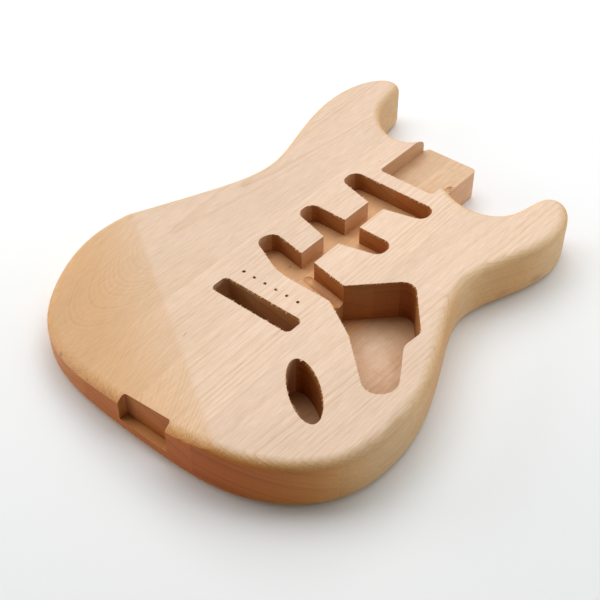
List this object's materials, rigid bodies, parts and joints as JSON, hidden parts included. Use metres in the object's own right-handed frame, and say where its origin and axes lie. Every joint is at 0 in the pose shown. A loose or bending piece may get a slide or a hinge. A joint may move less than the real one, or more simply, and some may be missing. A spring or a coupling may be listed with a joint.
{
  "type": "electric guitar body",
  "caption": "Bare double-cutaway solid electric guitar body of edge-glued boards, with neck pocket, pickup, control, jack and tremolo routes and a forearm bevel.",
  "frame": {"origin": "middle of the body's footprint on its back face", "axes": "+X to the treble side, +Y along the strings to the neck, +Z out of the top face"},
  "size_m": [0.3264, 0.4618, 0.0444],
  "materials": {
    "pale_board": "bare sanded",
    "warm_board": "bare sanded"
  },
  "bodies": {
    "root": {"bass_board": "warm_board", "centre_bass_board": "pale_board", "centre_treble_board": "pale_board", "treble_board": "warm_board", "treble_edge_strip": "pale_board"}
  },
  "joints": []
}
